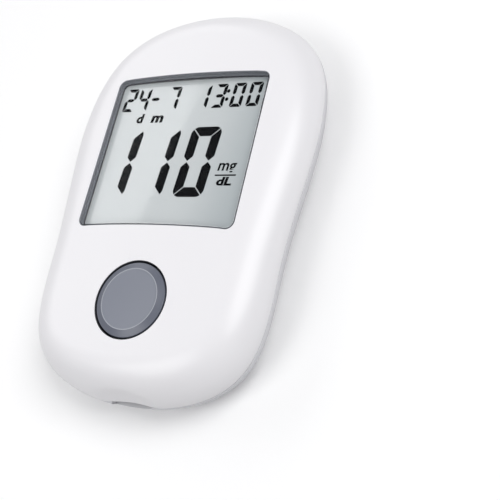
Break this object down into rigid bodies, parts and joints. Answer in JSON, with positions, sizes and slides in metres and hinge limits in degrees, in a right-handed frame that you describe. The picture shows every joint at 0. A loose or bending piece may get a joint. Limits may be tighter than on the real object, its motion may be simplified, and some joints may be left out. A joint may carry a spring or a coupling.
{
  "type": "blood glucose meter",
  "caption": "Handheld blood glucose meter with a flush display window, a large round button, a test strip slot and a hinged battery door",
  "frame": {"origin": "middle of the back face that the meter rests on, below the middle of its length and width", "axes": "+Z out of the display, +Y towards the top of the meter, away from the test strip slot, +X to the right of someone reading the display"},
  "size_m": [0.056, 0.0848, 0.0153],
  "materials": {
    "white_cover": "satin moulded ABS",
    "grey_cover": "satin moulded ABS",
    "clear_window": "clear polished acrylic",
    "foam": "closed cell foam",
    "polariser": "matt film over liquid crystal",
    "display_glass": "clear thin glass",
    "reflector": "grey reflective film",
    "white_frame": "plain moulded plastic",
    "zebra_rubber": "layered silicone",
    "board_laminate": "green solder mask",
    "chip_resin": "moulded epoxy",
    "plated_can": "plated can",
    "ceramic_chips": "fired ceramic",
    "black_resin": "glass filled nylon",
    "grey_button": "satin moulded ABS",
    "gold_plate": "gold plated spring strip",
    "cell_steel": "nickel plated can",
    "spring_steel": "nickel plated spring strip",
    "screw_steel": "zinc plated"
  },
  "bodies": {
    "housing": {"front_cover": "white_cover", "rear_cover": "grey_cover", "display_window": "clear_window", "display_gasket": "foam", "lcd_front_polariser": "polariser", "lcd_front_glass": "display_glass", "lcd_rear_glass": "display_glass", "lcd_reflector": "reflector", "lcd_holder": "white_frame", "zebra_connectors": "zebra_rubber", "circuit_board": "board_laminate", "processor": "chip_resin", "measuring_chip": "chip_resin", "clock_crystal": "plated_can", "board_components": "ceramic_chips", "beeper": "black_resin", "switch_body": "black_resin", "strip_connector": "black_resin", "strip_contacts": "gold_plate", "coin_cells": "cell_steel", "cell_positive_contacts": "spring_steel", "cell_negative_contacts": "spring_steel", "housing_screws": "screw_steel", "board_screws": "screw_steel"},
    "button": {"main_button": "grey_button", "switch_plunger": "white_frame"},
    "door": {"battery_door": "grey_cover"}
  },
  "joints": [
    {"name": "button_press", "type": "slide", "parent": "housing", "child": "button", "axis": [0, 0, -1], "range_m": [0, 0.0005], "stiffness_N_per_m": 2000, "springref_m": -0.0002},
    {"name": "door_hinge", "type": "hinge", "parent": "housing", "child": "door", "pos_m": [0, 0.0219, 0.0008], "axis": [1, 0, 0], "range_deg": [0, 90]}
  ]
}
